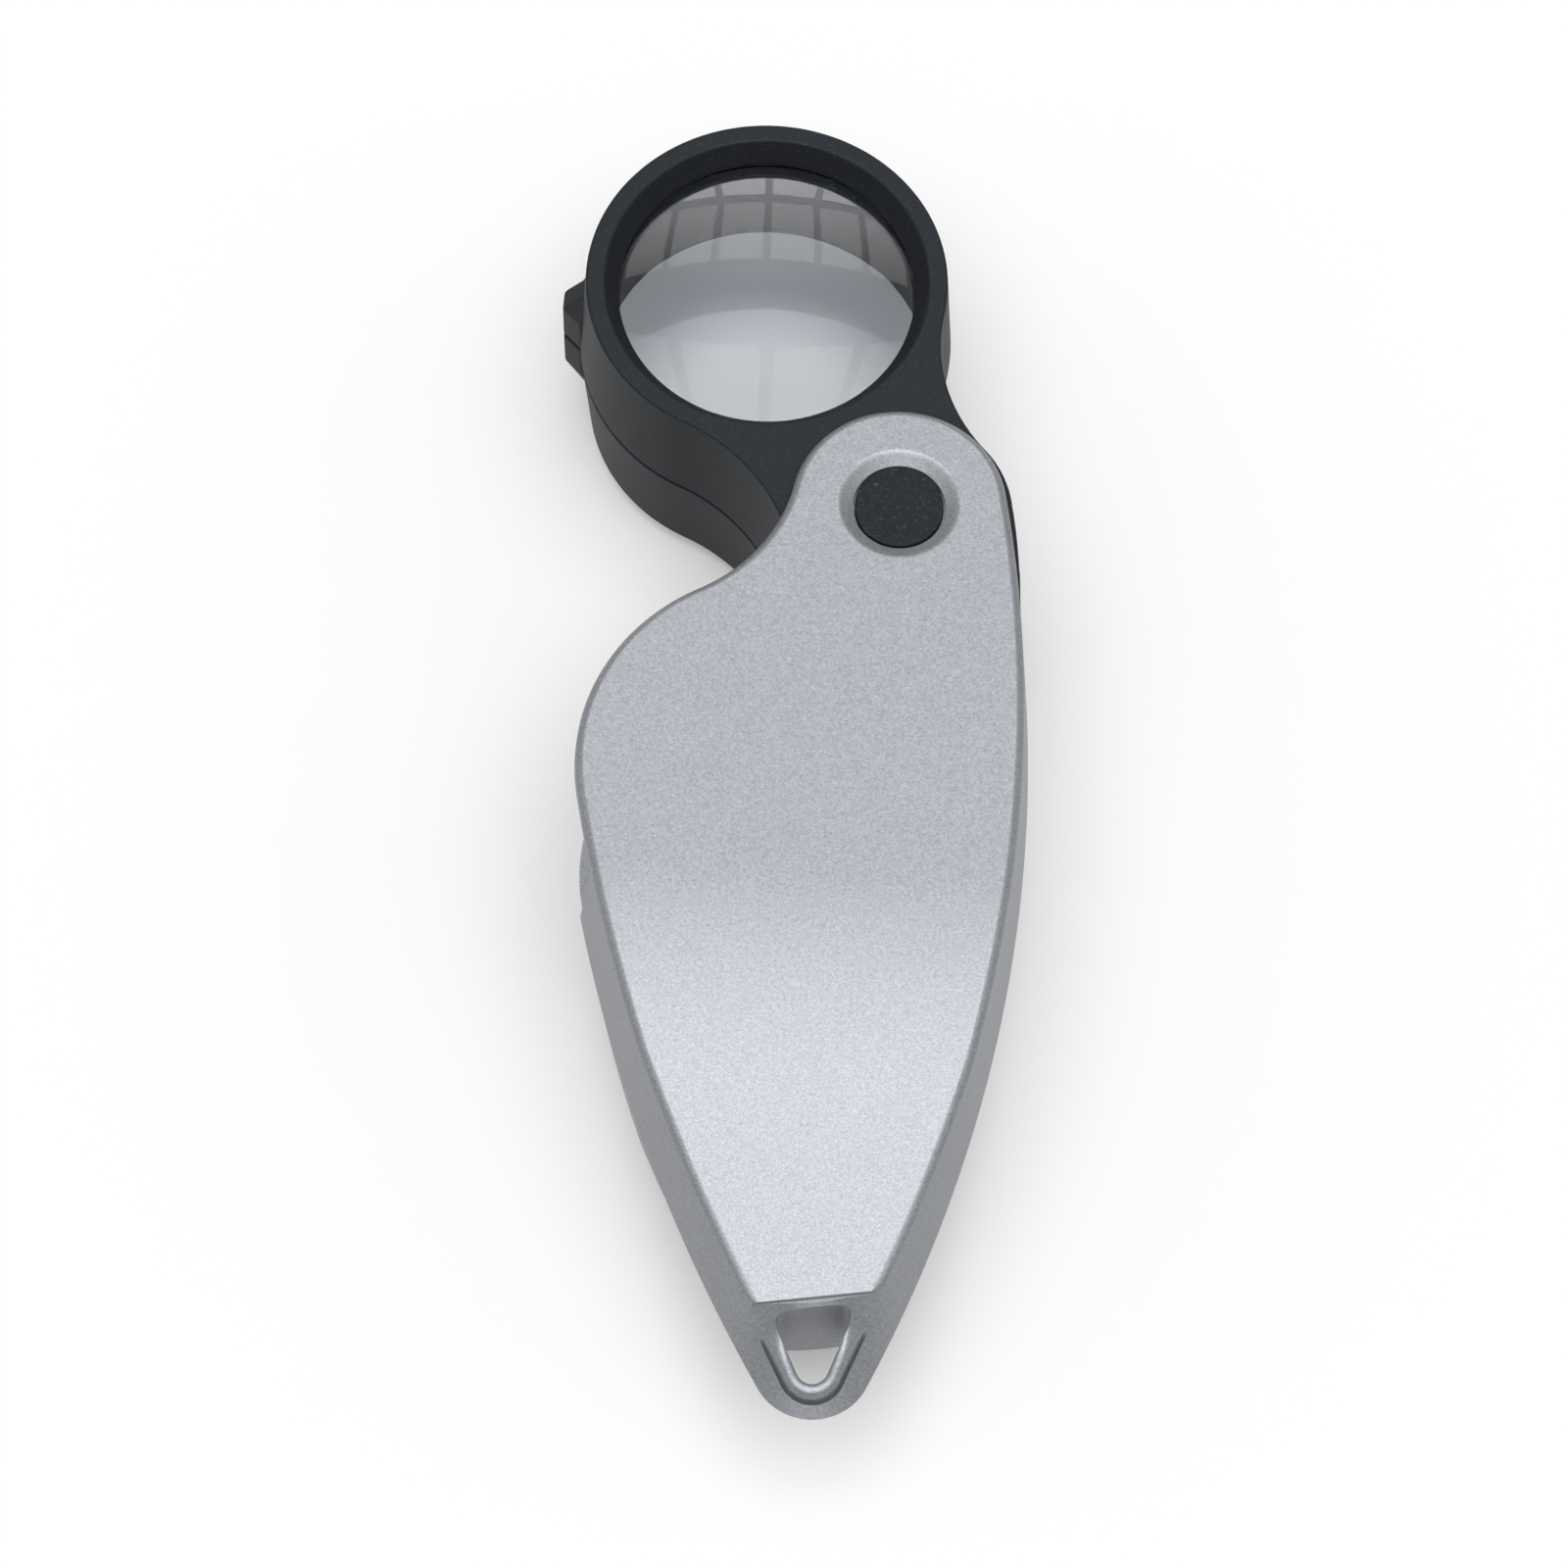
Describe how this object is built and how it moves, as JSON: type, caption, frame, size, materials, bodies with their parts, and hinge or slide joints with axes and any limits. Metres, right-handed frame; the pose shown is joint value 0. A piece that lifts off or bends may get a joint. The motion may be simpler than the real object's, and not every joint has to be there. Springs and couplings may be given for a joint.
{
  "type": "folding magnifier",
  "caption": "Pocket magnifier whose round lens head swings out of the side of a tapered silver case on a pivot, with a cord eye at the tip.",
  "frame": {"origin": "the pivot axis at the case's back face, which is the plane the part rests on", "axes": "+Z through the thickness from the back cover to the front cover, +Y along the case from its tip towards the pivot, +X to the right seen from the front"},
  "size_m": [0.0354, 0.099, 0.0214],
  "materials": {
    "silver_case": "fine-grained satin silver",
    "black_moulding": "fine matt grain",
    "lens_glass": "polished clear",
    "steel": "plain bright",
    "bush_metal": "plain turned",
    "nylon": "natural"
  },
  "bodies": {
    "housing": {"front_cover": "silver_case", "back_cover": "silver_case", "right_case_screw": "steel", "left_case_screw": "steel", "tip_case_screw": "steel", "pivot_screw": "steel", "pivot_nut": "steel", "pivot_sleeve": "steel", "front_pivot_cap": "black_moulding", "rear_pivot_cap": "black_moulding", "front_friction_washer": "nylon", "rear_friction_washer": "nylon", "wave_spring_washer": "steel"},
    "lens_head": {"lens_mount_front": "black_moulding", "lens_mount_rear": "black_moulding", "front_lens": "lens_glass", "rear_lens": "lens_glass", "lens_spacer_tube": "black_moulding", "front_hub_bush": "bush_metal", "rear_hub_bush": "bush_metal"}
  },
  "joints": [
    {"name": "head_swing", "type": "hinge", "parent": "housing", "child": "lens_head", "pos_m": [0, 0, 0.0107], "axis": [0, 0, 1], "range_deg": [0, 135]}
  ]
}
